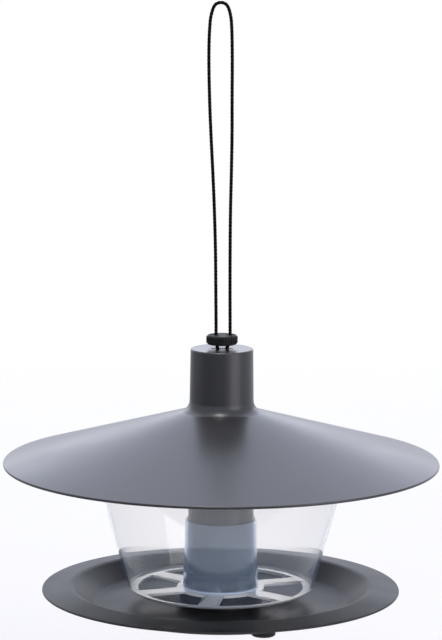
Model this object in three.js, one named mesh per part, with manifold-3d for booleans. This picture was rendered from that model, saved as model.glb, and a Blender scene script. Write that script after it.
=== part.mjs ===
// A hanging bird feeder: a wide cone roof with a chimney, a clear seed container on a round
// feeding tray, and a braided cord that carries the tray and guides the roof.
// Millimetres, +Z up. The origin is the hang point, under the top of the cord's loop.

import * as THREE from 'three';
import { mergeVertices } from 'three/addons/utils/BufferGeometryUtils.js';
import Module from 'manifold-3d';

// Clearances
const SEAT_GAP = 0.3; // between pieces that rest on each other
const SLIDE_GAP = 0.4; // all round, between tubes that slide in each other
const CORD_GAP = 0.3; // all round, between the cord and what it passes through

// Hanging cord
const CORD_DIAMETER = 2.4;
const CORD_SIDES = 8;
const HANG_DROP = 394.5; // from the hang point down to the plate that the knot pulls against
const LEG_SPACING = 4; // between the two legs where they go through the boss
const KNOT_WIDTH = 13;
const KNOT_DEPTH = 9;
const KNOT_HEIGHT = 9;

// Cord stopper
const STOPPER_RADIUS = 10.8;
const STOPPER_THICKNESS = 6.4;
const STOPPER_EDGE = 0.9; // rounding
const STOPPER_RISE = 3; // above the chimney, where the legs draw together
const STOPPER_SLOT_START = 2.3; // from the middle to the inner end of each slot
const STOPPER_SLOT_END = 8.9;

// Roof
const ROOF_RADIUS = 150;
const ROOF_SLOPE = 15.9; // degrees
const ROOF_WALL = 1.8;
const ROOF_EDGE = 0.6; // rounding
const CHIMNEY_RADIUS = 22.1; // at its foot
const CHIMNEY_TOP_RADIUS = 21.5;
const CHIMNEY_HEIGHT = 42.2; // above the cone
const CHIMNEY_PLATE = 2.5;
const CHIMNEY_EDGE = 1; // rounding
const CHIMNEY_FILLET = 8;
const CHIMNEY_SLOT_LENGTH = 15.4;
const TUBE_WALL = 1.8;
const TUBE_FILLET = 2;
const TUBE_END_GAP = 1; // between the end of the roof's tube and the boss

// Seed container
const CONTAINER_HEIGHT = 104.1;
const CONTAINER_FOOT_RADIUS = 63.7; // of the outer wall, carried on down to the bottom
const CONTAINER_FLARE = 15; // degrees
const CONTAINER_WALL = 1.6;
const CONTAINER_CORNER = 7; // rounding
const BEAD_WIDTH = 1.6;
const BEAD_HEIGHT = 3;
const RING_INNER_RADIUS = 57;
const RING_DEPTH = 2.2;
const RING_FILLET = 2;
const SPOKE_COUNT = 6;
const SPOKE_WIDTH = 14;
const SPOKE_THICKNESS = 1.8;
const SPOKE_TURN = 21; // degrees from +X to the first spoke
const HUB_RADIUS = 30.3;
const SLEEVE_HEIGHT = 47.6; // above the spokes
const SLEEVE_MOUTH_RADIUS = 24.5;
const SLEEVE_FOOT_RADIUS = 26.2;
const SLEEVE_WALL = 1.5;
const SLEEVE_EDGE = 0.6; // rounding

// Tray
const TRAY_RADIUS = 123.5;
const TRAY_CREST_RADIUS = 103; // of the highest ring of the rim
const TRAY_CREST_ROUNDING = 6;
const TRAY_FLOOR_RADIUS = 86;
const TRAY_FLOOR_ROUNDING = 9;
const TRAY_DEPTH = 12.4; // from the crest down to the floor
const TRAY_WALL = 2.2;
const RIM_FALL = 2.6; // from the crest out to the edge
const RIM_THICKNESS = 1.5; // at the edge
const RIM_EDGE = 0.6; // rounding
const BOSS_PLATE = 3;
const BOSS_ENGAGEMENT = 11.6; // how far the boss goes up into the sleeve
const BOSS_SEAT_RADIUS = 28.5;
const BOSS_SEAT_HEIGHT = 8.9; // above the floor
const BOSS_EDGE = 0.8; // rounding

// Feet
const FOOT_COUNT = 4;
const FOOT_RADIUS = 8.2;
const FOOT_HEIGHT = 4.2;
const FOOT_ROUNDING = 1.4;
const FOOT_CIRCLE_RADIUS = 74;
const FOOT_TURN = -67; // degrees from +X to the first foot

// Facets
const TURNED_SIDES = 64; // round the large mouldings
const SMALL_SIDES = 28; // round the stopper and the feet
const ARC_STEP = 30; // degrees of rounding to a facet
const SLOT_END_SIDES = 6;
const STEPS_PER_SPAN = 2; // of the cord, between two points of its route
const KNOT_SIDES = 16;
const KNOT_RINGS = 10;
const MERGE_DISTANCE = 1e-4;

// The cord's route from the knot up the left leg, over the loop and down the right leg, as [x, z].
const CORD_ROUTE = [
  [-2, -394.5], [-2, -320], [-2, -246], [-2.1, -237.5], [-2.6, -235],
  [-3.5, -232.8], [-4, -230.4], [-4.1, -226.5], [-4.1, -219], [-4.4, -195],
  [-4.8, -167], [-5.7, -139], [-6.8, -115], [-8.2, -89], [-9.35, -63],
  [-9.95, -32], [-9.2, -11.5], [-7.7, -3.9], [-5.6, 0.1],
  [-2, 1.4],
  [1.6, 0.1], [3.7, -3.9], [5.1, -11.5], [5.8, -32],
  [5.9, -63], [6, -89], [5.7, -115], [5.3, -139], [5.2, -167],
  [5.3, -195], [5.5, -219], [5.5, -226.5], [5.1, -230.4], [4.1, -232.8],
  [2.8, -235], [2.1, -237.5], [2, -246], [2, -320], [2, -394.5],
];

const radians = THREE.MathUtils.degToRad;
const wasm = await Module();
wasm.setup();

// The tray hangs on the knot, and everything else stands on the tray.
const plateUnder = -HANG_DROP;
const bossTop = plateUnder + BOSS_PLATE;
const bossSeat = bossTop - BOSS_ENGAGEMENT;
const trayFloor = bossSeat - BOSS_SEAT_HEIGHT;
const trayUnder = trayFloor - TRAY_WALL;
const trayCrest = trayFloor + TRAY_DEPTH;
const rimEdge = trayCrest - RIM_FALL;

const hubUnder = bossSeat + SEAT_GAP;
const spokeTop = hubUnder + SPOKE_THICKNESS;
const containerBottom = spokeTop - RING_DEPTH;
const containerTop = containerBottom + CONTAINER_HEIGHT;
const sleeveMouth = spokeTop + SLEEVE_HEIGHT;
const flare = Math.tan(radians(CONTAINER_FLARE));
const flaredWall = CONTAINER_WALL / Math.cos(radians(CONTAINER_FLARE));
const beadRadius = containerWallRadius(containerTop) + BEAD_WIDTH;

const slope = Math.tan(radians(ROOF_SLOPE));
const roofThickness = ROOF_WALL / Math.cos(radians(ROOF_SLOPE)); // measured upright
const roofRim = containerTop + SEAT_GAP - (ROOF_RADIUS - beadRadius) * slope;
const chimneyFoot = roofTop(CHIMNEY_RADIUS);
const chimneyTop = chimneyFoot + CHIMNEY_HEIGHT;
const tubeRadius = SLEEVE_MOUTH_RADIUS - SLEEVE_WALL - SLIDE_GAP;
const tubeEnd = bossTop + TUBE_END_GAP;

const stopperUnder = chimneyTop + STOPPER_RISE;
const stopperTop = stopperUnder + STOPPER_THICKNESS;
const slotWidth = CORD_DIAMETER + 2 * CORD_GAP;

function containerWallRadius(z) {
  return CONTAINER_FOOT_RADIUS + (z - containerBottom) * flare;
}

function sleeveInnerRadius(z) {
  const rise = (z - spokeTop) / SLEEVE_HEIGHT;
  return THREE.MathUtils.lerp(SLEEVE_FOOT_RADIUS, SLEEVE_MOUTH_RADIUS, rise) - SLEEVE_WALL;
}

function roofTop(radius) {
  return roofRim + roofThickness + (ROOF_RADIUS - radius) * slope;
}

// Corners are [radius, height, rounding]; the rounding is left out where a corner is sharp.
function rounded(corners) {
  const outline = [];
  corners.forEach(([x, y, rounding = 0], i) => {
    const corner = new THREE.Vector2(x, y);
    if (!rounding) {
      outline.push(corner);
      return;
    }
    const before = new THREE.Vector2(...corners[i - 1]).sub(corner);
    const after = new THREE.Vector2(...corners[i + 1]).sub(corner);
    const room = Math.min(before.length(), after.length()) / 2;
    before.normalize();
    after.normalize();
    const half = Math.acos(THREE.MathUtils.clamp(before.dot(after), -1, 1)) / 2;
    const radius = Math.min(rounding, room * Math.tan(half));
    const middle = before.clone().add(after).setLength(radius / Math.sin(half)).add(corner);
    const start = before.clone().multiplyScalar(radius / Math.tan(half)).add(corner);
    const turn = (Math.PI - 2 * half) * Math.sign(before.cross(after));
    const facets = Math.max(2, Math.ceil(Math.abs(turn) / radians(ARC_STEP)));
    for (let k = 0; k <= facets; k += 1) {
      outline.push(start.clone().rotateAround(middle, (-turn * k) / facets));
    }
  });
  return outline;
}

function solid(geometry) {
  geometry.deleteAttribute('normal');
  geometry.deleteAttribute('uv');
  const merged = mergeVertices(geometry, MERGE_DISTANCE);
  const corners = merged.index.array;
  const kept = [];
  for (let i = 0; i < corners.length; i += 3) {
    const [a, b, c] = corners.slice(i, i + 3);
    if (a !== b && b !== c && c !== a) {
      kept.push(a, b, c);
    }
  }
  return new wasm.Manifold(new wasm.Mesh({
    numProp: 3,
    vertProperties: merged.attributes.position.array,
    triVerts: Uint32Array.from(kept),
  }));
}

function turned(corners, sides) {
  const outline = rounded(corners);
  if (THREE.ShapeUtils.area(outline) < 0) {
    outline.reverse();
  }
  outline.push(outline[0].clone());
  return solid(new THREE.LatheGeometry(outline, sides).rotateX(Math.PI / 2));
}

// A slot with round ends along X, cut right through from one height to another.
function slotCutter(fromX, toX, fromZ, toZ) {
  const radius = slotWidth / 2;
  const outline = new THREE.Shape();
  outline.absarc(toX - radius, 0, radius, -Math.PI / 2, Math.PI / 2);
  outline.absarc(fromX + radius, 0, radius, Math.PI / 2, (3 * Math.PI) / 2);
  outline.closePath();
  const depth = toZ - fromZ;
  const shape = { depth, bevelEnabled: false, curveSegments: SLOT_END_SIDES };
  return solid(new THREE.ExtrudeGeometry(outline, shape).translate(0, 0, fromZ));
}

function plastic(color, roughness) {
  return new THREE.MeshStandardMaterial({ color, roughness, metalness: 0 });
}

function piece(name, body, material) {
  const { vertProperties, triVerts } = body.getMesh();
  const geometry = new THREE.BufferGeometry();
  geometry.setAttribute('position', new THREE.BufferAttribute(vertProperties, 3));
  geometry.setIndex(new THREE.BufferAttribute(triVerts, 1));
  geometry.computeVertexNormals();
  const mesh = new THREE.Mesh(geometry, material);
  mesh.name = name;
  return mesh;
}

// The roof is one moulding, held as three solids: the cone, the chimney and the tube.
function makeRoof() {
  const plateBottom = chimneyTop - CHIMNEY_PLATE;
  const coneUnder = roofTop(tubeRadius) - roofThickness;
  const shell = turned([
    [0, chimneyTop],
    [CHIMNEY_TOP_RADIUS, chimneyTop, CHIMNEY_EDGE],
    [CHIMNEY_RADIUS, chimneyFoot, CHIMNEY_FILLET],
    [ROOF_RADIUS, roofTop(ROOF_RADIUS), ROOF_EDGE],
    [ROOF_RADIUS, roofRim, ROOF_EDGE],
    [tubeRadius, coneUnder, TUBE_FILLET],
    [tubeRadius, tubeEnd],
    [tubeRadius - TUBE_WALL, tubeEnd],
    [CHIMNEY_TOP_RADIUS - TUBE_WALL, plateBottom],
    [0, plateBottom],
  ], TURNED_SIDES);
  const half = CHIMNEY_SLOT_LENGTH / 2;
  const slot = slotCutter(-half, half, plateBottom - SEAT_GAP, chimneyTop + SEAT_GAP);
  const neckRadius = Math.max(CHIMNEY_RADIUS, tubeRadius) + 2 * TUBE_FILLET;
  const core = turned([
    [0, tubeEnd - SEAT_GAP],
    [neckRadius, tubeEnd - SEAT_GAP],
    [neckRadius, chimneyTop + SEAT_GAP],
    [0, chimneyTop + SEAT_GAP],
  ], TURNED_SIDES);
  const [neck, cone] = shell.subtract(slot).split(core);
  const [chimney, tube] = neck.splitByPlane([0, 0, 1], coneUnder);
  const black = plastic(0x3a3b3f, 0.35);
  return [
    piece('roof', cone, black),
    piece('roof_chimney', chimney, black),
    piece('roof_tube', tube, black),
  ];
}

function makeContainer() {
  const beadFoot = containerTop - BEAD_HEIGHT;
  const innerFoot = containerWallRadius(spokeTop) - flaredWall;
  const tub = turned([
    [RING_INNER_RADIUS, containerBottom],
    [CONTAINER_FOOT_RADIUS, containerBottom, CONTAINER_CORNER],
    [containerWallRadius(beadFoot), beadFoot],
    [beadRadius, beadFoot],
    [beadRadius, containerTop],
    [containerWallRadius(containerTop) - flaredWall, containerTop],
    [innerFoot, spokeTop, RING_FILLET],
    [RING_INNER_RADIUS, spokeTop],
  ], TURNED_SIDES);
  const sleeve = turned([
    [sleeveInnerRadius(hubUnder), hubUnder],
    [HUB_RADIUS, hubUnder],
    [HUB_RADIUS, spokeTop],
    [SLEEVE_FOOT_RADIUS, spokeTop],
    [SLEEVE_MOUTH_RADIUS, sleeveMouth, SLEEVE_EDGE],
    [SLEEVE_MOUTH_RADIUS - SLEEVE_WALL, sleeveMouth],
  ], TURNED_SIDES);
  const start = (SLEEVE_FOOT_RADIUS + HUB_RADIUS) / 2;
  const end = (RING_INNER_RADIUS + innerFoot) / 2;
  let body = tub.add(sleeve);
  for (let k = 0; k < SPOKE_COUNT; k += 1) {
    const bar = new THREE.BoxGeometry(end - start, SPOKE_WIDTH, SPOKE_THICKNESS);
    bar.translate((start + end) / 2, 0, hubUnder + SPOKE_THICKNESS / 2);
    bar.rotateZ(radians(SPOKE_TURN) + (2 * Math.PI * k) / SPOKE_COUNT);
    body = body.add(solid(bar));
  }
  const clear = plastic(0xdfe3e8, 0.12);
  clear.transparent = true;
  clear.opacity = 0.35;
  return piece('seed_container', body, clear);
}

function makeTray() {
  const bossRadius = (z) => sleeveInnerRadius(z) - SLIDE_GAP;
  const hollow = bossRadius(bossTop) - TRAY_WALL;
  const seatUnder = bossSeat - TRAY_WALL;
  const dish = turned([
    [0, bossTop],
    [bossRadius(bossTop), bossTop, BOSS_EDGE],
    [bossRadius(bossSeat), bossSeat],
    [BOSS_SEAT_RADIUS, bossSeat, BOSS_EDGE],
    [BOSS_SEAT_RADIUS, trayFloor],
    [TRAY_FLOOR_RADIUS, trayFloor, TRAY_FLOOR_ROUNDING],
    [TRAY_CREST_RADIUS, trayCrest, TRAY_CREST_ROUNDING],
    [TRAY_RADIUS, rimEdge, RIM_EDGE],
    [TRAY_RADIUS, rimEdge - RIM_THICKNESS, RIM_EDGE],
    [TRAY_CREST_RADIUS + TRAY_WALL / 2, trayCrest - TRAY_WALL, TRAY_CREST_ROUNDING],
    [TRAY_FLOOR_RADIUS + TRAY_WALL / 2, trayUnder, TRAY_FLOOR_ROUNDING],
    [BOSS_SEAT_RADIUS - TRAY_WALL, trayUnder],
    [BOSS_SEAT_RADIUS - TRAY_WALL, seatUnder],
    [hollow, seatUnder],
    [hollow, plateUnder],
    [0, plateUnder],
  ], TURNED_SIDES);
  const half = LEG_SPACING / 2 + slotWidth / 2;
  const slot = slotCutter(-half, half, plateUnder - SEAT_GAP, bossTop + SEAT_GAP);
  return piece('tray', dish.subtract(slot), plastic(0x2f3034, 0.35));
}

function makeStopper() {
  let disc = turned([
    [0, stopperUnder],
    [STOPPER_RADIUS, stopperUnder, STOPPER_EDGE],
    [STOPPER_RADIUS, stopperTop, STOPPER_EDGE],
    [0, stopperTop],
  ], SMALL_SIDES);
  const low = stopperUnder - SEAT_GAP;
  const high = stopperTop + SEAT_GAP;
  disc = disc.subtract(slotCutter(STOPPER_SLOT_START, STOPPER_SLOT_END, low, high));
  disc = disc.subtract(slotCutter(-STOPPER_SLOT_END, -STOPPER_SLOT_START, low, high));
  return piece('cord_stopper', disc, plastic(0x17171a, 0.45));
}

// A curve whose steps follow the points of its route, close together where it bends.
class CordCurve extends THREE.CatmullRomCurve3 {
  getPointAt(t, target) {
    return this.getPoint(t, target);
  }

  getTangentAt(t, target) {
    return this.getTangent(t, target);
  }
}

function makeCord() {
  const curve = new CordCurve(CORD_ROUTE.map(([x, z]) => new THREE.Vector3(x, 0, z)));
  const section = new THREE.Shape();
  section.absarc(0, 0, CORD_DIAMETER / 2, 0, 2 * Math.PI);
  const steps = (CORD_ROUTE.length - 1) * STEPS_PER_SPAN;
  const curveSegments = CORD_SIDES / 2; // a full turn has twice as many
  const shape = { extrudePath: curve, steps, curveSegments, bevelEnabled: false };
  const cord = solid(new THREE.ExtrudeGeometry(section, shape));
  return piece('hanging_cord', cord, plastic(0x2b2320, 0.85));
}

function makeKnot() {
  const knot = new THREE.SphereGeometry(0.5, KNOT_SIDES, KNOT_RINGS).rotateX(Math.PI / 2);
  knot.scale(KNOT_WIDTH, KNOT_DEPTH, KNOT_HEIGHT);
  knot.translate(0, 0, plateUnder - SEAT_GAP - KNOT_HEIGHT / 2);
  return piece('cord_knot', solid(knot), plastic(0x2b2320, 0.85));
}

function makeFoot(number) {
  const seat = trayUnder - SEAT_GAP;
  const foot = turned([
    [0, seat],
    [FOOT_RADIUS, seat],
    [FOOT_RADIUS, seat - FOOT_HEIGHT, FOOT_ROUNDING],
    [0, seat - FOOT_HEIGHT],
  ], SMALL_SIDES);
  const mesh = piece(`foot_${number}`, foot, plastic(0x1d1c1c, 0.8));
  const turn = radians(FOOT_TURN) + (2 * Math.PI * (number - 1)) / FOOT_COUNT;
  mesh.position.set(FOOT_CIRCLE_RADIUS * Math.cos(turn), FOOT_CIRCLE_RADIUS * Math.sin(turn), 0);
  return mesh;
}

const feeder = new THREE.Group();
feeder.name = 'bird_feeder';
feeder.add(makeCord(), makeKnot(), makeStopper(), ...makeRoof(), makeContainer(), makeTray());
for (let number = 1; number <= FOOT_COUNT; number += 1) {
  feeder.add(makeFoot(number));
}

export default feeder;
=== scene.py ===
"""Looks of a hanging bird feeder, laid out as a Blender add-on and run as a script.

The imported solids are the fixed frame. Every piece is in metres, in the solids' own frame:
+Z is up, the origin is the hang point under the cord's loop, and the front faces -Y.
"""

import math

import bmesh
import bpy
from bpy.props import FloatProperty, FloatVectorProperty, IntProperty, PointerProperty
from mathutils import Matrix, Vector
from mathutils.geometry import interpolate_bezier


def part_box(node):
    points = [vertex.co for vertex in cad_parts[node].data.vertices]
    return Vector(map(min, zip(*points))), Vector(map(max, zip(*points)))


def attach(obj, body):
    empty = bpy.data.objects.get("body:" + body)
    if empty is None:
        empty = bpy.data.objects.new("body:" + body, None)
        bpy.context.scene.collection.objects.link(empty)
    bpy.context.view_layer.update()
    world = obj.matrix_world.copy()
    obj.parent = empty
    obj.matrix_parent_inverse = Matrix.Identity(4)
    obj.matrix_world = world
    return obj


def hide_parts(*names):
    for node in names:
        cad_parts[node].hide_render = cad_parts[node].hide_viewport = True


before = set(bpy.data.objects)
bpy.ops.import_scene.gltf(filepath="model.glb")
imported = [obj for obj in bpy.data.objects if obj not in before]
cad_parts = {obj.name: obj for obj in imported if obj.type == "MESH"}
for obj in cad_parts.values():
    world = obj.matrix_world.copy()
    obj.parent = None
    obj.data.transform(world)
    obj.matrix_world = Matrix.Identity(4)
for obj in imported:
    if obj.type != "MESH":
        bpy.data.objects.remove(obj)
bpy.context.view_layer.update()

bl_info = {
    "name": "Hanging Bird Feeder",
    "version": (1, 0, 0),
    "blender": (4, 5, 0),
    "location": "View3D > Sidebar > Feeder",
    "description": "Models the looks of a hanging bird feeder round its packed solids",
    "category": "Add Mesh",
}

MM = 0.001

# How finely round shapes are divided
TURNED_STEPS = 180  # round the mouldings
ROUNDING_STEPS = 5  # along a rounded corner of an outline
EDGE_STEPS = 3  # along a small rounded edge
SLOT_SIDES = 32
BEND_POINTS = 33  # along a bend between two points of a cord's route
STEPS_PER_DIAMETER = 6  # along a cord
SIDES_PER_STRAND = 4  # round a cord

SMOOTH_ANGLE = math.radians(35)
UPRIGHT_LIMIT = 0.1  # how far the normal of an upright face may lean up or down
WELD_DISTANCE = 0.001 * MM
CUT_PAST = 1 * MM  # how far a cutter runs past what it cuts

PATTERN_LOW, PATTERN_HIGH = 0.3, 0.7  # the part of a pattern that drives a finish
FLOOR_GLOW = 0.07  # the light that the floor gives off where it is seen
FADE_START = 0.3  # the share of the floor's reach where it starts to fade
SENSOR_WIDTH = 36  # of the camera, in millimetres
LAMP_TARGET = Vector((0, 0, -0.28))  # the roof, which all lamps face

# The cord's route from the knot up the left leg, over the loop and down the right leg, as (x, z).
CORD_ROUTE = [
    (-0.002, -0.3945), (-0.002, -0.32), (-0.002, -0.246), (-0.0021, -0.2375), (-0.0026, -0.235),
    (-0.0035, -0.2328), (-0.004, -0.2304), (-0.0041, -0.2265), (-0.0041, -0.219), (-0.0044, -0.195),
    (-0.0048, -0.167), (-0.0057, -0.139), (-0.0068, -0.115), (-0.0082, -0.089), (-0.00935, -0.063),
    (-0.00995, -0.032), (-0.0092, -0.0115), (-0.0077, -0.0039), (-0.0056, 0.0001),
    (-0.002, 0.0014),
    (0.0016, 0.0001), (0.0037, -0.0039), (0.0051, -0.0115), (0.0058, -0.032),
    (0.0059, -0.063), (0.006, -0.089), (0.0057, -0.115), (0.0053, -0.139), (0.0052, -0.167),
    (0.0053, -0.195), (0.0055, -0.219), (0.0055, -0.2265), (0.0051, -0.2304), (0.0041, -0.2328),
    (0.0028, -0.235), (0.0021, -0.2375), (0.002, -0.246), (0.002, -0.32), (0.002, -0.3945),
]

# One strand of the knot, from the left leg's end to its own loose end, as (x, y, drop below the leg).
KNOT_STRAND = [
    (-0.002, 0.0, 0.0), (-0.0034, -0.0012, 0.0018), (-0.0012, -0.003, 0.0034),
    (0.0028, -0.0026, 0.0036), (0.0046, 0.0002, 0.0034), (0.0026, 0.0029, 0.0038),
    (-0.0018, 0.0027, 0.0052), (-0.0036, 0.0001, 0.0062), (-0.0016, -0.0022, 0.007),
    (0.0012, -0.0016, 0.0084), (0.0018, -0.0006, 0.0112), (0.0024, -0.0008, 0.0138),
]


def length(name, description, default):
    """A size in metres that a user can change."""
    return FloatProperty(
        name=name, description=description, default=default, min=0.0, unit="LENGTH", precision=5,
    )


def angle(name, description, degrees):
    """An angle that a user can change."""
    return FloatProperty(
        name=name, description=description, default=math.radians(degrees), subtype="ANGLE",
    )


def colour(name, description, default):
    """A colour that a user can change."""
    return FloatVectorProperty(
        name=name, description=description, default=default, size=3, min=0.0, max=1.0, subtype="COLOR",
    )


class CordSettings(bpy.types.PropertyGroup):
    """Sizes and colours of the braided cord and its knot, with painted shade in the grooves of its
    braid.
    """

    diameter: length("Diameter", "Thickness of the braided cord", 2.4 * MM)
    full_length: length("Length", "Length of the cord from knot to knot", 0.8)
    braid_pitch: length("Braid pitch", "Length in which a strand goes once round the cord", 9.6 * MM)
    braid_relief: length("Braid relief", "How far the strands stand out of the grooves", 0.22 * MM)
    strands: IntProperty(name="Strands", description="Strands that wind each way", default=4, min=2)
    strand_colour: colour("Strands", "Colour of the strands", (0.009, 0.0075, 0.005))
    # The groove colour is painted shade: it darkens the cord between the strands, where the braid dips.
    painted_groove_shade: colour("Grooves", "Colour between the strands", (0.002, 0.002, 0.0016))


class StopperSettings(bpy.types.PropertyGroup):
    """Sizes and colour of the knurled stopper."""

    edge: length("Edge", "Rounding of the disc's edges", 0.9 * MM)
    slot_start: length("Slot start", "From the middle to the inner end of each slot", 2.3 * MM)
    slot_end: length("Slot end", "From the middle to the outer end of each slot", 8.9 * MM)
    slot_width: length("Slot width", "Width of the slots that the cord's legs go through", 3.0 * MM)
    slot_flare: length("Slot flare", "Chamfer round the mouth of each slot", 0.4 * MM)
    knurl_depth: length("Knurl depth", "How far the ridges stand out of the side", 0.6 * MM)
    knurl_taper: length("Knurl taper", "How far each flank of a ridge leans in", 0.2 * MM)
    knurl_ridges: IntProperty(name="Ridges", description="Ridges round the side", default=30, min=8)
    shade: colour("Colour", "Colour of the stopper's plastic", (0.004, 0.004, 0.0045))


class RoofSettings(bpy.types.PropertyGroup):
    """Sizes and colour of the roof, its chimney and its tube."""

    slope: angle("Slope", "Fall of the cone", 15.9)
    wall: length("Wall", "Thickness of the cone", 1.8 * MM)
    edge: length("Edge", "Rounding of the rim and the tube's end", 0.6 * MM)
    chimney_radius: length("Chimney radius", "Radius of the chimney's foot", 22.1 * MM)
    chimney_top_radius: length("Chimney top radius", "Radius of the chimney's top", 21.5 * MM)
    chimney_height: length("Chimney height", "Height of the chimney above the cone", 42.2 * MM)
    chimney_plate: length("Chimney plate", "Thickness of the chimney's top", 2.5 * MM)
    chimney_edge: length("Chimney edge", "Rounding of the chimney's top, outside and inside", 1.0 * MM)
    chimney_fillet: length("Chimney fillet", "Rounding at the chimney's foot", 8.0 * MM)
    slot_length: length("Slot length", "Length of the slot that the cord goes through", 15.4 * MM)
    slot_width: length("Slot width", "Width of the slot that the cord goes through", 3.0 * MM)
    tube_radius: length("Tube radius", "Radius of the tube under the roof", 22.6 * MM)
    tube_wall: length("Tube wall", "Thickness of the tube and the chimney", 1.8 * MM)
    tube_fillet: length("Tube fillet", "Rounding where the tube meets the cone", 2.0 * MM)
    shade: colour("Colour", "Colour of the roof's plastic", (0.0265, 0.0262, 0.0285))


class ContainerSettings(bpy.types.PropertyGroup):
    """Sizes and tint of the clear seed container."""

    foot_radius: length("Foot radius", "Radius of the wall, carried on down to the bottom", 63.7 * MM)
    flare: angle("Flare", "Lean of the wall", 15.0)
    wall: length("Wall", "Thickness of the wall", 1.6 * MM)
    corner: length("Corner", "Rounding at the foot of the wall", 7.0 * MM)
    bead_height: length("Bead height", "Height of the bead round the mouth", 3.0 * MM)
    bead_edge: length("Bead edge", "Rounding of the bead", 0.6 * MM)
    ring_radius: length("Ring radius", "Inner radius of the floor's ring", 57.0 * MM)
    ring_depth: length("Ring depth", "Depth of the floor's ring", 2.2 * MM)
    ring_edge: length("Ring edge", "Rounding of the step under the floor's ring", 0.1 * MM)
    ring_fillet: length("Ring fillet", "Rounding between the floor and the wall", 2.0 * MM)
    spokes: IntProperty(name="Spokes", description="Spokes of the floor", default=6, min=3)
    spoke_width: length("Spoke width", "Width of a spoke", 14.0 * MM)
    spoke_thickness: length("Spoke thickness", "Thickness of a spoke", 1.8 * MM)
    spoke_turn: angle("Spoke turn", "Angle from +X to the first spoke", 21.0)
    spoke_edge: length("Spoke edge", "Rounding along the spokes and at the sleeve's foot", 0.4 * MM)
    hub_radius: length("Hub radius", "Radius of the ring round the sleeve's foot", 30.3 * MM)
    sleeve_height: length("Sleeve height", "Height of the sleeve above the floor", 47.6 * MM)
    sleeve_mouth_radius: length("Sleeve mouth", "Outer radius of the sleeve's mouth", 24.5 * MM)
    sleeve_foot_radius: length("Sleeve foot", "Outer radius of the sleeve's foot", 26.2 * MM)
    sleeve_wall: length("Sleeve wall", "Thickness of the sleeve", 1.5 * MM)
    sleeve_edge: length("Sleeve edge", "Rounding of the sleeve's mouth", 0.6 * MM)
    tint: colour("Tint", "Colour of the clear plastic", (1.0, 0.99, 0.975))
    # The sleeve's colour is partly its own milky tone and partly painted reflection: its blue stands in
    # for bluish light reflected over the dark tube.
    sleeve_tint_and_reflection: colour("Sleeve tint", "Colour of the slightly milky sleeve", (0.69, 0.81, 1.0))
    haze: colour("Haze", "Colour that the plastic scatters", (0.4, 0.64, 1.0))


class TraySettings(bpy.types.PropertyGroup):
    """Sizes and colour of the feeding tray."""

    crest_radius: length("Crest radius", "Radius of the rim's highest ring", 103.0 * MM)
    crest_rounding: length("Crest rounding", "Rounding of the rim's highest ring", 6.0 * MM)
    floor_radius: length("Floor radius", "Radius of the floor", 86.0 * MM)
    floor_rounding: length("Floor rounding", "Rounding round the floor", 9.0 * MM)
    depth: length("Depth", "From the crest down to the floor", 12.4 * MM)
    wall: length("Wall", "Thickness of the dish", 2.2 * MM)
    rim_fall: length("Rim fall", "From the crest down to the edge", 2.6 * MM)
    rim_thickness: length("Rim thickness", "Thickness at the edge", 1.5 * MM)
    rim_edge: length("Rim edge", "Rounding of the edge", 0.6 * MM)
    boss_radius: length("Boss radius", "Radius of the boss at its top", 24.0 * MM)
    boss_foot_radius: length("Boss foot", "Radius of the boss at its seat", 24.4 * MM)
    boss_plate: length("Boss plate", "Thickness of the boss's top", 3.0 * MM)
    boss_height: length("Boss height", "Height of the boss above its seat", 11.6 * MM)
    seat_radius: length("Seat radius", "Radius of the step that the container stands on", 28.5 * MM)
    boss_edge: length("Boss edge", "Rounding of the boss and its step", 0.8 * MM)
    slot_length: length("Slot length", "Length of the slot that the cord goes through", 7.0 * MM)
    slot_width: length("Slot width", "Width of the slot that the cord goes through", 3.0 * MM)
    shade: colour("Colour", "Colour of the tray's plastic", (0.0165, 0.0158, 0.0165))


class FeetSettings(bpy.types.PropertyGroup):
    """Sizes and colour of the feet."""

    rounding: length("Rounding", "Rounding of a foot's lower edge", 1.4 * MM)
    dimple_radius: length("Dimple radius", "Radius of the shallow dimple under a foot", 4.0 * MM)
    dimple_depth: length("Dimple depth", "Depth of the shallow dimple under a foot", 0.5 * MM)
    shade: colour("Colour", "Colour of the rubber", (0.010, 0.010, 0.010))


class StageSettings(bpy.types.PropertyGroup):
    """The camera, the floor and the light."""

    camera_distance: length("Camera distance", "From the feeder's axis to the camera", 2.0568)
    camera_height: length("Camera height", "Height of the camera above the hang point", 0.0999)
    camera_side: FloatProperty(
        name="Camera side", description="How far the camera stands to the right", default=-0.00075,
        unit="LENGTH",
    )
    camera_pitch: angle("Camera pitch", "How far the camera looks down", 8.70)
    camera_roll: angle("Camera roll", "How far the camera leans", 0.33)
    camera_lens: FloatProperty(
        name="Lens", description="Focal length of the camera", default=171.1, min=1.0, unit="CAMERA",
    )
    floor_drop: length("Floor drop", "From the feet down to the floor", 90.0 * MM)
    floor_reach: length("Floor reach", "How far the floor goes on before it fades out", 1.7)
    floor_shade: colour("Floor", "Colour of the floor", (0.85, 0.84, 0.83))
    lamp_shade: colour("Lamps", "Colour of the plain softboxes", (1.0, 0.98, 0.98))
    sky_shade: colour("Cool lamps", "Colour of the cool softboxes", (0.72, 0.785, 1.0))
    background_shade: colour("Background", "Colour of the background", (1.0, 1.0, 1.0))
    mirrored_shade: colour("Mirrored", "Colour of the background in reflections", (0.83, 0.87, 1.0))
    room_shade: colour("Room", "Colour of the light that comes from all round", (0.34, 0.34, 0.35))
    front_card_shade: colour("Front card", "Colour of the front card in reflections", (0.1, 0.1, 0.105))
    left_card_shade: colour("Left card", "Colour of the left card in reflections", (0.5, 0.5, 0.52))


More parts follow.
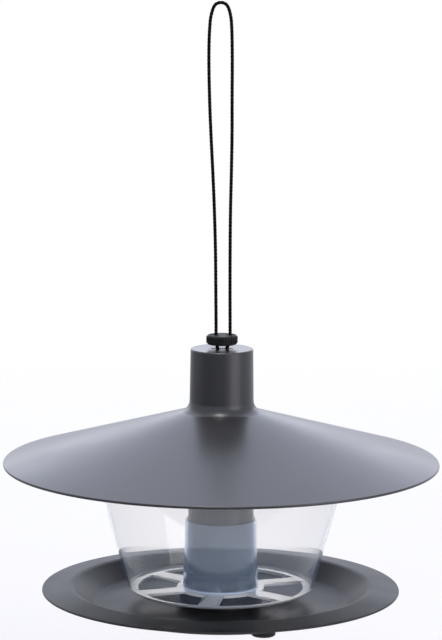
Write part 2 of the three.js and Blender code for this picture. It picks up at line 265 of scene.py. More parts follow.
class FeederSettings(bpy.types.PropertyGroup):
    """Everything about the feeder that a user would change."""

    cord: PointerProperty(type=CordSettings)
    stopper: PointerProperty(type=StopperSettings)
    roof: PointerProperty(type=RoofSettings)
    container: PointerProperty(type=ContainerSettings)
    tray: PointerProperty(type=TraySettings)
    feet: PointerProperty(type=FeetSettings)
    stage: PointerProperty(type=StageSettings)


# Modelling steps


def clear_selection():
    """Leave edit mode and deselect everything, so that an operator acts on one piece alone."""
    if bpy.context.mode != "OBJECT":
        bpy.ops.object.mode_set(mode="OBJECT")
    bpy.ops.object.select_all(action="DESELECT")


def work_on(piece):
    """Make a piece the only selected one, in object mode."""
    clear_selection()
    piece.select_set(True)
    bpy.context.view_layer.objects.active = piece


def new_piece(name):
    """Name the primitive that was just added, and put its place into its mesh."""
    piece = bpy.context.active_object
    piece.name = piece.data.name = name
    bpy.ops.object.transform_apply(location=True, rotation=True, scale=True)
    return piece


def select_where(piece, kind, test):
    """In edit mode, select only the vertices, edges or faces that pass a test."""
    bpy.ops.mesh.select_mode(type={"verts": "VERT", "edges": "EDGE", "faces": "FACE"}[kind])
    bpy.ops.mesh.select_all(action="DESELECT")
    mesh = bmesh.from_edit_mesh(piece.data)
    found = [element for element in getattr(mesh, kind) if test(element)]
    if not found:
        raise RuntimeError(f"{piece.name} has no {kind} to select")
    for element in found:
        element.select_set(True)
    bmesh.update_edit_mesh(piece.data)


def lies_on(vert, points):
    """Whether a vertex lies on one of several points."""
    return any((vert.co - point).length < WELD_DISTANCE for point in points)


def lies_at(edge, levels):
    """Whether an edge lies level at one of several heights."""
    return any(all(abs(vert.co.z - level) < WELD_DISTANCE for vert in edge.verts) for level in levels)


def weld():
    """In edit mode, merge corners that lie on each other."""
    bpy.ops.mesh.select_all(action="SELECT")
    bpy.ops.mesh.remove_doubles(threshold=WELD_DISTANCE)


def draw_outline(name, corners, closed):
    """Draw (radius, height, rounding) corners as a wire over the X axis, with its corners rounded."""
    clear_selection()
    bpy.ops.mesh.primitive_plane_add(size=MM)
    piece = new_piece(name)
    bpy.ops.object.mode_set(mode="EDIT")
    bpy.ops.mesh.select_mode(type="VERT")
    bpy.ops.mesh.merge(type="CENTER")
    points = [Vector((corner[0], 0, corner[1])) for corner in corners]
    bpy.ops.transform.translate(value=points[0])
    for here, there in zip(points, points[1:]):
        bpy.ops.mesh.extrude_region_move(TRANSFORM_OT_translate={"value": there - here})
    if closed:
        select_where(piece, "verts", lambda vert: lies_on(vert, (points[0], points[-1])))
        bpy.ops.mesh.edge_face_add()
    for i, corner in enumerate(corners):
        if len(corner) < 3:
            continue
        before = points[i - 1] - points[i]
        after = points[(i + 1) % len(points)] - points[i]
        reach = corner[2] / math.tan(before.angle(after) / 2)
        select_where(piece, "verts", lambda vert: lies_on(vert, (points[i],)))
        bpy.ops.mesh.bevel(offset=reach, segments=ROUNDING_STEPS, affect="VERTICES")
    return piece


def turned(name, corners, closed=False):
    """Turn an outline about the feeder's axis. One that isn't closed starts and ends on the axis."""
    piece = draw_outline(name, corners, closed)
    bpy.ops.mesh.select_all(action="SELECT")
    bpy.ops.mesh.spin(steps=TURNED_STEPS, angle=2 * math.pi, center=(0, 0, 0), axis=(0, 0, 1))
    weld()
    bpy.ops.mesh.normals_make_consistent(inside=False)
    bpy.ops.object.mode_set(mode="OBJECT")
    return piece


def slot_bar(start, end, width, low, high):
    """A bar with round ends along X that cuts a slot."""
    clear_selection()
    middle = start + width / 2
    bpy.ops.mesh.primitive_cylinder_add(
        vertices=SLOT_SIDES, radius=width / 2, depth=high - low,
        location=(middle, 0, (low + high) / 2), rotation=(0, 0, math.pi / SLOT_SIDES),
    )
    bar = new_piece("slot_bar")
    bpy.ops.object.mode_set(mode="EDIT")
    select_where(bar, "verts", lambda vert: vert.co.x > middle)
    bpy.ops.transform.translate(value=(end - start - width, 0, 0))
    bpy.ops.object.mode_set(mode="OBJECT")
    return bar


def cut_with(piece, cutter):
    """Cut one solid out of another, and weld the doubled corners that the cut leaves."""
    work_on(piece)
    cut = piece.modifiers.new("cut", "BOOLEAN")
    cut.operation = "DIFFERENCE"
    cut.solver = "EXACT"
    cut.object = cutter
    bpy.ops.object.modifier_apply(modifier=cut.name)
    bpy.data.objects.remove(cutter)
    bpy.ops.object.mode_set(mode="EDIT")
    weld()
    bpy.ops.object.mode_set(mode="OBJECT")


def smooth(piece):
    """Shade a piece smooth, apart from its sharp edges, with its large faces left true."""
    work_on(piece)
    bpy.ops.object.shade_smooth_by_angle(angle=SMOOTH_ANGLE)
    shading = piece.modifiers.new("shading", "WEIGHTED_NORMAL")
    shading.keep_sharp = True
    bpy.ops.object.modifier_apply(modifier=shading.name)


def settle(piece, finish, slot, body, *nodes):
    """Give a piece its finish, and let it stand for its CAD nodes on their body."""
    piece.data.materials.clear()
    piece.data.materials.append(finish)
    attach(piece, body)
    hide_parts(*nodes)


# Finishes


def new_finish(name, **values):
    """A material with its constant values set on the shader's own sockets."""
    finish = bpy.data.materials.new(name)
    finish.use_nodes = True
    shader = finish.node_tree.nodes["Principled BSDF"]
    for socket, value in values.items():
        shader.inputs[socket.replace("_", " ")].default_value = value
    return finish, finish.node_tree, shader


def noise(tree, scale, detail):
    """Noise fixed to the piece, in cells to the metre."""
    place = tree.nodes.new("ShaderNodeTexCoord")
    texture = tree.nodes.new("ShaderNodeTexNoise")
    texture.inputs["Scale"].default_value = scale
    texture.inputs["Detail"].default_value = detail
    tree.links.new(place.outputs["Object"], texture.inputs["Vector"])
    return texture.outputs["Fac"]


def rising(tree, low, high):
    """A number that rises from 0 to 1 between two heights of the piece."""
    place = tree.nodes.new("ShaderNodeTexCoord")
    split = tree.nodes.new("ShaderNodeSeparateXYZ")
    climb = tree.nodes.new("ShaderNodeMapRange")
    climb.inputs["From Min"].default_value = low
    climb.inputs["From Max"].default_value = high
    tree.links.new(place.outputs["Object"], split.inputs["Vector"])
    tree.links.new(split.outputs["Z"], climb.inputs["Value"])
    return climb.outputs["Result"]


def outward(tree, near, far, start=0.0, end=1.0, blend="LINEAR"):
    """A number that goes from a start to an end between two distances from the feeder's axis."""
    place = tree.nodes.new("ShaderNodeTexCoord")
    flat = tree.nodes.new("ShaderNodeVectorMath")
    flat.operation = "MULTIPLY"
    flat.inputs[1].default_value = (1.0, 1.0, 0.0)
    away = tree.nodes.new("ShaderNodeVectorMath")
    away.operation = "LENGTH"
    spread = tree.nodes.new("ShaderNodeMapRange")
    spread.interpolation_type = blend
    spread.inputs["From Min"].default_value = near
    spread.inputs["From Max"].default_value = far
    spread.inputs["To Min"].default_value = start
    spread.inputs["To Max"].default_value = end
    tree.links.new(place.outputs["Object"], flat.inputs[0])
    tree.links.new(flat.outputs["Vector"], away.inputs[0])
    tree.links.new(away.outputs["Value"], spread.inputs["Value"])
    return spread.outputs["Result"]


def ranged(tree, source, low, high, socket):
    """Let a pattern drive a number between two values."""
    spread = tree.nodes.new("ShaderNodeMapRange")
    spread.inputs["From Min"].default_value = PATTERN_LOW
    spread.inputs["From Max"].default_value = PATTERN_HIGH
    spread.inputs["To Min"].default_value = low
    spread.inputs["To Max"].default_value = high
    tree.links.new(source, spread.inputs["Value"])
    tree.links.new(spread.outputs["Result"], socket)


def tinted(tree, source, first, second, socket):
    """Let a pattern drive a colour between two colours."""
    ramp = tree.nodes.new("ShaderNodeValToRGB")
    low, high = ramp.color_ramp.elements
    for stop, place, shade in ((low, PATTERN_LOW, first), (high, PATTERN_HIGH, second)):
        stop.position = place
        stop.color = (*shade, 1.0)
    tree.links.new(source, ramp.inputs["Fac"])
    tree.links.new(ramp.outputs["Color"], socket)


def bumped(tree, source, height, shader):
    """Let a pattern raise the surface."""
    bump = tree.nodes.new("ShaderNodeBump")
    bump.inputs["Distance"].default_value = height
    tree.links.new(source, bump.inputs["Height"])
    tree.links.new(bump.outputs["Normal"], shader.inputs["Normal"])


def scaled(shade, factor):
    """A colour made darker or lighter."""
    return tuple(channel * factor for channel in shade)


def moulded(name, shade, patches, tones, wear, roughness, grain, relief, **values):
    """A moulded finish. Its patches, wear and grain are noise, each given as (scale, detail)."""
    finish, tree, shader = new_finish(name, **values)
    darker, lighter = (scaled(shade, tone) for tone in tones)
    tinted(tree, noise(tree, *patches), darker, lighter, shader.inputs["Base Color"])
    ranged(tree, noise(tree, *wear), *roughness, shader.inputs["Roughness"])
    bumped(tree, noise(tree, *grain), relief, shader)
    return finish


def satin_plastic(name, shade, roughness, ior):
    """Dark plastic with a fine grain and faint cloudy patches."""
    return moulded(
        name, shade, patches=(14, 2), tones=(0.94, 1.06), wear=(25, 3),
        roughness=roughness, grain=(2600, 1), relief=0.002 * MM, IOR=ior,
    )


def clear_plastic(tub, floor):
    """Clear plastic with a faint bluish haze, milky in the floor and a little so in the sleeve, whose
    blue colour is partly painted reflection.
    """
    floor_clarity, sleeve_clarity, wall_clarity = 0.1, 0.9, 0.985
    finish, tree, shader = new_finish(
        "clear_plastic", IOR=1.12, Coat_Weight=1.0, Coat_IOR=1.5, Sheen_Weight=0.12, Sheen_Roughness=0.8,
    )
    shader.inputs["Sheen Tint"].default_value = (*tub.haze, 1.0)
    reach = outward(tree, tub.sleeve_foot_radius, tub.sleeve_foot_radius + tub.ring_fillet / 2)
    # Near the sleeve the colour is bluish, partly painted reflection of bluish light; further out it
    # turns to the clear tint.
    tinted(tree, reach, tub.sleeve_tint_and_reflection, tub.tint, shader.inputs["Base Color"])
    clear = tree.nodes.new("ShaderNodeMath")
    clear.operation = "MULTIPLY"
    ranged(tree, rising(tree, floor, floor + tub.ring_fillet), floor_clarity, 1.0, clear.inputs[0])
    ranged(tree, reach, sleeve_clarity, wall_clarity, clear.inputs[1])
    tree.links.new(clear.outputs["Value"], shader.inputs["Transmission Weight"])
    ranged(tree, noise(tree, scale=60, detail=3), 0.03, 0.06, shader.inputs["Roughness"])
    bumped(tree, noise(tree, scale=40, detail=1), 0.01 * MM, shader)
    return finish


def stopper_plastic(shade):
    """Black plastic, a little dusty and rough."""
    return moulded(
        "stopper_plastic", shade, patches=(300, 4), tones=(0.8, 1.5), wear=(500, 3),
        roughness=(0.55, 0.7), grain=(2500, 2), relief=0.02 * MM, Specular_IOR_Level=0.3,
    )


def foot_rubber(shade):
    """Matte black rubber."""
    return moulded(
        "foot_rubber", shade, patches=(250, 3), tones=(0.8, 1.4), wear=(400, 3),
        roughness=(0.65, 0.85), grain=(1800, 3), relief=0.03 * MM, IOR=1.5,
    )


def braided_yarn(groove_shade, strand):
    """Dull yarn with painted shade in the grooves of the braid, and streaked with fibres."""
    finish, tree, shader = new_finish("braided_yarn", Specular_IOR_Level=0.05)
    raised = tree.nodes.new("ShaderNodeAttribute")
    raised.attribute_name = "raised"
    # Painted shade: where the braid dips between the strands, its colour goes darker.
    tinted(tree, raised.outputs["Fac"], groove_shade, strand, shader.inputs["Base Color"])
    ranged(tree, noise(tree, scale=900, detail=3), 0.75, 0.95, shader.inputs["Roughness"])
    bumped(tree, noise(tree, scale=4000, detail=4), 0.06 * MM, shader)
    return finish


def pale_paper(shade, reach):
    """Pale paper that fades out into the background, and that is clear from below."""
    finish, tree, shader = new_finish("pale_paper", Roughness=0.9, Specular_IOR_Level=0.0)
    shader.inputs["Emission Color"].default_value = (1.0, 1.0, 1.0, 1.0)
    tinted(tree, noise(tree, scale=3, detail=2), scaled(shade, 0.99), shade, shader.inputs["Base Color"])
    path = tree.nodes.new("ShaderNodeLightPath")
    seen = path.outputs["Is Camera Ray"]
    for kind in ("Is Glossy Ray", "Is Transmission Ray"):
        either = tree.nodes.new("ShaderNodeMath")
        either.operation = "MAXIMUM"
        tree.links.new(seen, either.inputs[0])
        tree.links.new(path.outputs[kind], either.inputs[1])
        seen = either.outputs["Value"]
    glow = tree.nodes.new("ShaderNodeMath")
    glow.operation = "MULTIPLY"
    glow.inputs[1].default_value = FLOOR_GLOW
    tree.links.new(seen, glow.inputs[0])
    tree.links.new(glow.outputs["Value"], shader.inputs["Emission Strength"])
    fade = outward(tree, FADE_START * reach, reach, start=1.0, end=0.0, blend="SMOOTHSTEP")
    side = tree.nodes.new("ShaderNodeNewGeometry")
    front = tree.nodes.new("ShaderNodeMath")
    front.operation = "SUBTRACT"
    front.use_clamp = True
    tree.links.new(fade, front.inputs[0])
    tree.links.new(side.outputs["Backfacing"], front.inputs[1])
    tree.links.new(front.outputs["Value"], shader.inputs["Alpha"])
    return finish


def card_paper(name, shade):
    """A card of one plain brightness."""
    finish, _, shader = new_finish(name, Emission_Strength=1.0, Specular_IOR_Level=0.0)
    shader.inputs["Base Color"].default_value = (0.0, 0.0, 0.0, 1.0)
    shader.inputs["Emission Color"].default_value = (*shade, 1.0)
    return finish


# Cords


def bent_through(points, step):
    """Points a step apart along a smooth curve through a route."""
    befores, afters = [points[0], *points], [*points[1:], points[-1]]
    tangents = [(after - before) / 2 for before, after in zip(befores, afters)]
    fine = [points[0]]
    for i in range(len(points) - 1):
        span = (points[i + 1] - points[i]).length
        out = tangents[i].normalized() * span / 3
        back = tangents[i + 1].normalized() * span / 3
        handles = points[i] + out, points[i + 1] - back
        fine.extend(interpolate_bezier(points[i], *handles, points[i + 1], BEND_POINTS)[1:])
    total = sum((b - a).length for a, b in zip(fine, fine[1:]))
    count = round(total / step)
    even = [fine[0]]
    walked = 0.0
    for a, b in zip(fine, fine[1:]):
        span = (b - a).length
        while len(even) < count and walked + span >= len(even) * total / count:
            even.append(a.lerp(b, (len(even) * total / count - walked) / span))
        walked += span
    even.append(fine[-1])
    return even


def braid(mesh, path, cord, sides):
    """Add a braided tube along a path to a mesh, with the height of each point of the braid."""
    raised = mesh.verts.layers.float["raised"]
    step = (path[1] - path[0]).length
    side = (path[1] - path[0]).orthogonal().normalized()
    rings = []
    for i, point in enumerate(path):
        along = (path[min(i + 1, len(path) - 1)] - path[max(i - 1, 0)]).normalized()
        side = (side - along * side.dot(along)).normalized()
        other = along.cross(side)
        turn = i * step / cord.braid_pitch
        ring = []
        for k in range(sides):
            round_share = k / sides
            over = abs(math.sin(math.pi * cord.strands * (round_share + turn)))
            under = abs(math.sin(math.pi * cord.strands * (round_share - turn)))
            height = math.sqrt(over * under)
            reach = cord.diameter / 2 - cord.braid_relief * (1 - height)
            around = 2 * math.pi * round_share
            vert = mesh.verts.new(point + (side * math.cos(around) + other * math.sin(around)) * reach)
            vert[raised] = height
            ring.append(vert)
        rings.append(ring)
    for low, high in zip(rings, rings[1:]):
        for k in range(sides):
            mesh.faces.new((low[k - 1], low[k], high[k], high[k - 1]))
    mesh.faces.new(reversed(rings[0]))
    mesh.faces.new(rings[-1])


def braided_piece(name, paths, cord, sides):
    """A piece of braided cord along one or more paths."""
    mesh = bmesh.new()
    mesh.verts.layers.float.new("raised")
    for path in paths:
        braid(mesh, path, cord, sides)
    data = bpy.data.meshes.new(name)
    mesh.to_mesh(data)
    mesh.free()
    piece = bpy.data.objects.new(name, data)
    bpy.context.scene.collection.objects.link(piece)
    work_on(piece)
    bpy.ops.object.shade_smooth()
    return piece


# Operators


class FEEDER_OT_stage(bpy.types.Operator):
    """Set up the camera, the floor and the light"""

    bl_idname = "feeder.stage"
    bl_label = "Stage"

    def execute(self, context):
        stage = context.scene.feeder.stage
        self.add_camera(context, stage)
        self.add_floor(stage)
        self.add_world(context, stage)
        self.add_lamps(context, stage)
        context.scene.view_settings.view_transform = "Standard"
        return {"FINISHED"}

    def add_camera(self, context, stage):
        clear_selection()
        bpy.ops.object.camera_add()
        camera = context.active_object
        camera.name = "camera"
        camera.data.sensor_width = SENSOR_WIDTH
        camera.data.lens = stage.camera_lens
        tilt = Matrix.Rotation(math.pi / 2 - stage.camera_pitch, 4, "X")
        lean = Matrix.Rotation(stage.camera_roll, 4, "Z")
        place = Matrix.Translation((stage.camera_side, -stage.camera_distance, stage.camera_height))
        camera.matrix_world = place @ tilt @ lean
        context.scene.camera = camera

    def add_floor(self, stage):
        clear_selection()
        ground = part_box("foot_1")[0].z - stage.floor_drop
        bpy.ops.mesh.primitive_plane_add(size=2 * stage.floor_reach, location=(0, 0, ground))
        floor = new_piece("floor")
        floor.data.materials.append(pale_paper(stage.floor_shade, stage.floor_reach))
        for name, place, width, depth, shade in (
            ("front_card", (-1.4, -2.2, ground + MM), 3.8, 3.6, stage.front_card_shade),
            ("left_card", (-1.9, 0.6, ground + MM), 2.8, 2.0, stage.left_card_shade),
        ):
            clear_selection()
            bpy.ops.mesh.primitive_plane_add(size=1, location=place)
            bpy.ops.transform.resize(value=(width, depth, 1))
            card = new_piece(name)
            card.data.materials.append(card_paper(name, shade))
            card.visible_camera = card.visible_diffuse = False
            card.visible_transmission = card.visible_shadow = False

    def add_world(self, context, stage):
        world = bpy.data.worlds.new("studio")
        world.use_nodes = True
        tree = world.node_tree
        path = tree.nodes.new("ShaderNodeLightPath")
        tree.nodes["Background"].inputs["Color"].default_value = (*stage.room_shade, 1.0)
        shown = tree.nodes["Background"].outputs["Background"]
        for kind, shade in (
            ("Is Glossy Ray", stage.mirrored_shade),
            ("Is Transmission Ray", stage.background_shade),
            ("Is Camera Ray", stage.background_shade),
        ):
            other = tree.nodes.new("ShaderNodeBackground")
            other.inputs["Color"].default_value = (*shade, 1.0)
            choice = tree.nodes.new("ShaderNodeMixShader")
            tree.links.new(path.outputs[kind], choice.inputs[0])
            tree.links.new(shown, choice.inputs[1])
            tree.links.new(other.outputs["Background"], choice.inputs[2])
            shown = choice.outputs["Shader"]
        tree.links.new(shown, tree.nodes["World Output"].inputs["Surface"])
        context.scene.world = world

    def add_lamps(self, context, stage):
        for name, place, width, height, glow, shade, mirrored in (
            ("back_softbox", (0.0, 1.25, 0.75), 3.2, 1.8, 0.95, stage.sky_shade, True),
            ("low_softbox", (0.0, 2.2, 0.2), 3.2, 0.6, 0.85, stage.lamp_shade, True),
            ("top_softbox", (-0.1, 0.0, 1.6), 1.4, 0.3, 15.0, stage.lamp_shade, True),
            ("right_softbox", (1.1, -0.95, 0.0), 1.0, 1.2, 1.8, stage.lamp_shade, True),
            ("front_softbox", (0.0, -2.5, 0.4), 3.0, 1.6, 1.4, stage.sky_shade, False),
        ):
            clear_selection()
            bpy.ops.object.light_add(type="AREA", location=place)
            lamp = context.active_object
            lamp.name = name
            lamp.data.shape = "RECTANGLE"
            lamp.data.size = width
            lamp.data.size_y = height
            lamp.data.color = shade
            lamp.data.energy = glow * math.pi * width * height
            lamp.rotation_euler = (LAMP_TARGET - lamp.location).to_track_quat("-Z", "Y").to_euler()
            lamp.visible_camera = False
            lamp.visible_glossy = mirrored


class FEEDER_OT_cord(bpy.types.Operator):
    """Braid the hanging cord and its knot"""

    bl_idname = "feeder.cord"
    bl_label = "Cord and knot"

    def execute(self, context):
        cord = context.scene.feeder.cord
        step = cord.diameter / STEPS_PER_DIAMETER
        sides = SIDES_PER_STRAND * cord.strands
        finish = braided_yarn(cord.painted_groove_shade, cord.strand_colour)
        route = [Vector((x, 0, z)) for x, z in CORD_ROUTE]
        path = bent_through(route, step)
        loop = braided_piece("braided_cord", [path], cord, sides)
        settle(loop, finish, "cord", "tray_body", "hanging_cord")

        start = route[0].z
        strand = [Vector((x, y, start - drop)) for x, y, drop in KNOT_STRAND]
        half_turn = Matrix.Rotation(math.pi, 3, "Z")
        strands = [strand, [half_turn @ point for point in strand]]
        paths = [bent_through(points, step) for points in strands]
        knot = braided_piece("tied_knot", paths, cord, sides)
        settle(knot, finish, "cord", "tray_body", "cord_knot")
        return {"FINISHED"}


class FEEDER_OT_stopper(bpy.types.Operator):
    """Model the knurled stopper"""

    bl_idname = "feeder.stopper"
    bl_label = "Stopper"

    def execute(self, context):
        stopper = context.scene.feeder.stopper
        low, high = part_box("cord_stopper")
        radius = high.x
        disc = self.knurled_disc(stopper, radius - stopper.knurl_depth, low.z, high.z)
        below, above = low.z - CUT_PAST, high.z + CUT_PAST
        near, far = stopper.slot_start, stopper.slot_end
        for start, end in ((near, far), (-far, -near)):
            cut_with(disc, slot_bar(start, end, stopper.slot_width, below, above))
        work_on(disc)
        bpy.ops.object.mode_set(mode="EDIT")
        inside = radius - stopper.edge - stopper.knurl_depth - WELD_DISTANCE
        levels = low.z, high.z
        select_where(disc, "edges", lambda edge: self.rounds_a_mouth(edge, inside, levels))
        bpy.ops.mesh.bevel(offset=stopper.slot_flare, segments=EDGE_STEPS)
        bpy.ops.object.mode_set(mode="OBJECT")
        smooth(disc)
        settle(disc, stopper_plastic(stopper.shade), "stopper_plastic", "stopper_body", "cord_stopper")
        return {"FINISHED"}

    def knurled_disc(self, stopper, radius, low, high):
        """A disc whose side has ridges that slant one way above its middle and the other way below."""
        columns = 2 * stopper.knurl_ridges
        pitch = 2 * math.pi / columns
        middle = (low + high) / 2
        clear_selection()
        bpy.ops.mesh.primitive_cylinder_add(
            vertices=columns, radius=radius, depth=high - low, location=(0, 0, middle),
        )
        disc = new_piece("stopper_disc")
        bpy.ops.object.mode_set(mode="EDIT")
        select_where(disc, "edges", lambda edge: lies_at(edge, (low, high)))
        bpy.ops.mesh.bevel(offset=stopper.edge, segments=ROUNDING_STEPS)
        bpy.ops.mesh.select_all(action="SELECT")
        bpy.ops.mesh.bisect(plane_co=(0, 0, middle), plane_no=(0, 0, 1))
        select_where(disc, "verts", lambda vert: abs(vert.co.z - middle) < WELD_DISTANCE)
        bpy.ops.transform.rotate(value=pitch, orient_axis="Z", center_override=(0, 0, middle))
        select_where(disc, "faces", lambda face: self.lies_on_a_ridge(face, pitch, middle))
        bpy.ops.mesh.inset(thickness=stopper.knurl_taper, depth=stopper.knurl_depth)
        bpy.ops.object.mode_set(mode="OBJECT")
        return disc

    def lies_on_a_ridge(self, face, pitch, middle):
        """Whether a face of the side is in every second column, counted along the top and bottom."""
        if abs(face.normal.z) > UPRIGHT_LIMIT:
            return False
        ends = [vert.co for vert in face.verts if abs(vert.co.z - middle) > WELD_DISTANCE]
        centre = (ends[0] + ends[1]) / 2
        column = math.atan2(centre.y, centre.x) / pitch
        return math.floor(column) % 2 == 0

    def rounds_a_mouth(self, edge, inside, levels):
        """Whether an edge lies on a flat face of the disc, round the mouth of a slot."""
        flat = lies_at(edge, levels)
        within = all(vert.co.xy.length < inside for vert in edge.verts)
        return flat and within and edge.calc_face_angle(0.0) > SMOOTH_ANGLE


class FEEDER_OT_roof(bpy.types.Operator):
    """Turn the roof with its chimney and its tube"""

    bl_idname = "feeder.roof"
    bl_label = "Roof"

    def execute(self, context):
        roof = context.scene.feeder.roof
        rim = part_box("roof")[1].x
        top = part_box("roof_chimney")[1].z
        tube_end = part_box("roof_tube")[0].z
        fall = math.tan(roof.slope)
        thickness = roof.wall / math.cos(roof.slope)
        chimney_foot = top - roof.chimney_height
        rim_top = chimney_foot - (rim - roof.chimney_radius) * fall
        plate_under = top - roof.chimney_plate
        moulding = turned("roof_moulding", [
            (0, top),
            (roof.chimney_top_radius, top, roof.chimney_edge),
            (roof.chimney_radius, chimney_foot, roof.chimney_fillet),
            (rim, rim_top, roof.edge),
            (rim, rim_top - thickness, roof.edge),
            (roof.tube_radius, rim_top - thickness + (rim - roof.tube_radius) * fall, roof.tube_fillet),
            (roof.tube_radius, tube_end, roof.edge),
            (roof.tube_radius - roof.tube_wall, tube_end, roof.edge),
            (roof.chimney_top_radius - roof.tube_wall, plate_under, roof.chimney_edge),
            (0, plate_under),
        ])
        half = roof.slot_length / 2
        below, above = plate_under - CUT_PAST, top + CUT_PAST
        cut_with(moulding, slot_bar(-half, half, roof.slot_width, below, above))
        smooth(moulding)
        finish = satin_plastic("roof_plastic", roof.shade, roughness=(0.28, 0.32), ior=1.52)
        settle(moulding, finish, "roof_plastic", "roof_body", "roof", "roof_chimney", "roof_tube")
        return {"FINISHED"}


class FEEDER_OT_container(bpy.types.Operator):
    """Turn the clear seed container and cut the gaps between its spokes"""

    bl_idname = "feeder.container"
    bl_label = "Seed container"

    def execute(self, context):
        tub = context.scene.feeder.container
        low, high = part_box("seed_container")
        lean = math.tan(tub.flare)
        wall = tub.wall / math.cos(tub.flare)
        floor_top = low.z + tub.ring_depth
        floor_under = floor_top - tub.spoke_thickness
        bead_foot = high.z - tub.bead_height
        sleeve_mouth = floor_top + tub.sleeve_height
        sleeve_lean = (tub.sleeve_foot_radius - tub.sleeve_mouth_radius) / tub.sleeve_height
        sleeve_inner_foot = tub.sleeve_foot_radius - tub.sleeve_wall + sleeve_lean * tub.spoke_thickness

        def wall_radius(z):
            return tub.foot_radius + (z - low.z) * lean

        moulding = turned("container_moulding", [
            (tub.ring_radius, low.z, tub.ring_edge),
            (tub.foot_radius, low.z, tub.corner),
            (wall_radius(bead_foot), bead_foot, tub.bead_edge),
            (high.x, bead_foot, tub.bead_edge),
            (high.x, high.z, tub.bead_edge),
            (wall_radius(high.z) - wall, high.z, tub.bead_edge),
            (wall_radius(floor_top) - wall, floor_top, tub.ring_fillet),
            (tub.sleeve_foot_radius, floor_top, tub.spoke_edge),
            (tub.sleeve_mouth_radius, sleeve_mouth, tub.sleeve_edge),
            (tub.sleeve_mouth_radius - tub.sleeve_wall, sleeve_mouth, tub.sleeve_edge),
            (sleeve_inner_foot, floor_under),
            (tub.ring_radius, floor_under, tub.ring_edge),
        ], closed=True)
        cut_with(moulding, self.gaps_between_spokes(tub, floor_under - CUT_PAST, floor_top + CUT_PAST))
        work_on(moulding)
        bpy.ops.object.mode_set(mode="EDIT")
        levels = floor_under, floor_top
        select_where(moulding, "edges", lambda edge: self.runs_along_a_gap(edge, tub, levels))
        bpy.ops.mesh.bevel(offset=tub.spoke_edge, segments=EDGE_STEPS)
        weld()
        bpy.ops.object.mode_set(mode="OBJECT")
        smooth(moulding)
        finish = clear_plastic(tub, floor_top)
        settle(moulding, finish, "clear_plastic", "container_body", "seed_container")
        return {"FINISHED"}

    def gaps_between_spokes(self, tub, low, high):
        """A ring with the spokes cut out of it, which leaves the gaps."""
        ring = turned("spoke_gaps", [
            (tub.hub_radius, low), (tub.ring_radius, low),
            (tub.ring_radius, high), (tub.hub_radius, high),
        ], closed=True)
        size = tub.ring_radius, tub.spoke_width, high - low + 2 * CUT_PAST
        middle = (tub.hub_radius + tub.ring_radius) / 2, 0, (low + high) / 2
        for k in range(tub.spokes):
            clear_selection()
            bpy.ops.mesh.primitive_cube_add(size=1)
            bar = new_piece("spoke_bar")
            bpy.ops.object.mode_set(mode="EDIT")
            bpy.ops.transform.resize(value=size)
            bpy.ops.transform.translate(value=middle)
            bpy.ops.object.mode_set(mode="OBJECT")
            bar.rotation_euler.z = tub.spoke_turn + 2 * math.pi * k / tub.spokes
            bpy.ops.object.transform_apply(rotation=True)
            cut_with(ring, bar)
        return ring

    def runs_along_a_gap(self, edge, tub, levels):
        """Whether an edge lies on the floor's upper or lower face, along a gap between two spokes."""
        flat = lies_at(edge, levels)
        radii = [vert.co.xy.length for vert in edge.verts]
        reached = all(tub.hub_radius - MM < radius < tub.ring_radius + MM for radius in radii)
        return flat and reached and edge.calc_face_angle(0.0) > SMOOTH_ANGLE


class FEEDER_OT_tray(bpy.types.Operator):
    """Turn the feeding tray with the boss that carries the container"""

    bl_idname = "feeder.tray"
    bl_label = "Tray"

    def execute(self, context):
        tray = context.scene.feeder.tray
        low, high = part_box("tray")
        under = low.z
        floor = under + tray.wall
        crest = floor + tray.depth
        rim = crest - tray.rim_fall
        seat = high.z - tray.boss_height
        plate_under = high.z - tray.boss_plate
        hollow = tray.boss_radius - tray.wall
        moulding = turned("tray_moulding", [
            (0, high.z),
            (tray.boss_radius, high.z, tray.boss_edge),
            (tray.boss_foot_radius, seat, tray.boss_edge),
            (tray.seat_radius, seat, tray.boss_edge),
            (tray.seat_radius, floor, tray.boss_edge),
            (tray.floor_radius, floor, tray.floor_rounding),
            (tray.crest_radius, crest, tray.crest_rounding),
            (high.x, rim, tray.rim_edge),
            (high.x, rim - tray.rim_thickness, tray.rim_edge),
            (tray.crest_radius + tray.wall / 2, crest - tray.wall, tray.crest_rounding),
            (tray.floor_radius + tray.wall / 2, under, tray.floor_rounding),
            (tray.seat_radius - tray.wall, under, tray.boss_edge),
            (tray.seat_radius - tray.wall, seat - tray.wall, tray.boss_edge),
            (hollow, seat - tray.wall, tray.boss_edge),
            (hollow, plate_under, tray.boss_edge),
            (0, plate_under),
        ])
        half = tray.slot_length / 2
        below, above = plate_under - CUT_PAST, high.z + CUT_PAST
        cut_with(moulding, slot_bar(-half, half, tray.slot_width, below, above))
        smooth(moulding)
        finish = satin_plastic("tray_plastic", tray.shade, roughness=(0.44, 0.5), ior=1.4)
        settle(moulding, finish, "tray_plastic", "tray_body", "tray")
        return {"FINISHED"}


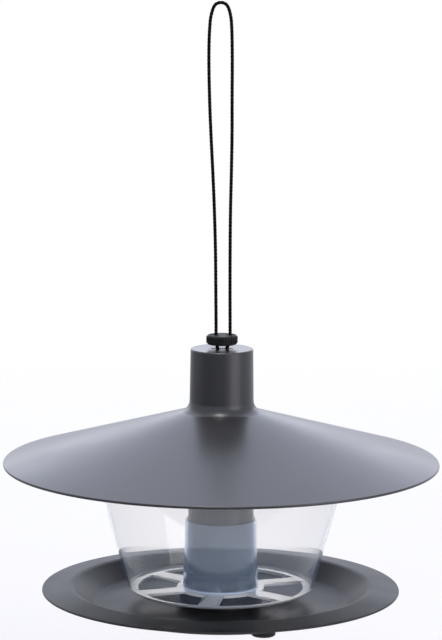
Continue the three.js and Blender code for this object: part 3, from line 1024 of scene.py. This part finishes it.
class FEEDER_OT_feet(bpy.types.Operator):
    """Turn one foot and copy it to each place under the tray"""

    bl_idname = "feeder.feet"
    bl_label = "Feet"

    def execute(self, context):
        feet = context.scene.feeder.feet
        nodes = sorted(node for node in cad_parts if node.startswith("foot_"))
        low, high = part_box(nodes[0])
        radius = (high.x - low.x) / 2
        pattern = turned("foot_pad", [
            (0, high.z),
            (radius, high.z),
            (radius, low.z, feet.rounding),
            (feet.dimple_radius, low.z, feet.dimple_depth),
            (feet.dimple_radius - feet.dimple_depth, low.z + feet.dimple_depth, feet.dimple_depth),
            (0, low.z + feet.dimple_depth),
        ])
        smooth(pattern)
        finish = foot_rubber(feet.shade)
        for number, node in enumerate(nodes, 1):
            low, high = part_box(node)
            foot = pattern.copy()
            foot.data = pattern.data.copy()
            foot.name = foot.data.name = f"foot_pad_{number}"
            context.scene.collection.objects.link(foot)
            foot.data.transform(Matrix.Translation(((low.x + high.x) / 2, (low.y + high.y) / 2, 0)))
            settle(foot, finish, "foot_rubber", "tray_body", node)
        bpy.data.objects.remove(pattern)
        return {"FINISHED"}


class FEEDER_PT_sidebar(bpy.types.Panel):
    """The steps that make the feeder, in order"""

    bl_idname = "FEEDER_PT_sidebar"
    bl_label = "Bird feeder"
    bl_space_type = "VIEW_3D"
    bl_region_type = "UI"
    bl_category = "Feeder"

    def draw(self, context):
        for step in STEPS:
            self.layout.operator(step.bl_idname)


STEPS = (
    FEEDER_OT_stage,
    FEEDER_OT_cord,
    FEEDER_OT_stopper,
    FEEDER_OT_roof,
    FEEDER_OT_container,
    FEEDER_OT_tray,
    FEEDER_OT_feet,
)

CLASSES = (
    CordSettings,
    StopperSettings,
    RoofSettings,
    ContainerSettings,
    TraySettings,
    FeetSettings,
    StageSettings,
    FeederSettings,
    *STEPS,
    FEEDER_PT_sidebar,
)


def register():
    for cls in CLASSES:
        bpy.utils.register_class(cls)
    bpy.types.Scene.feeder = PointerProperty(type=FeederSettings)


def unregister():
    del bpy.types.Scene.feeder
    for cls in reversed(CLASSES):
        bpy.utils.unregister_class(cls)


def main():
    register()
    bpy.ops.feeder.stage()
    bpy.ops.feeder.cord()
    bpy.ops.feeder.stopper()
    bpy.ops.feeder.roof()
    bpy.ops.feeder.container()
    bpy.ops.feeder.tray()
    bpy.ops.feeder.feet()
    clear_selection()


if __name__ == "__main__":
    main()
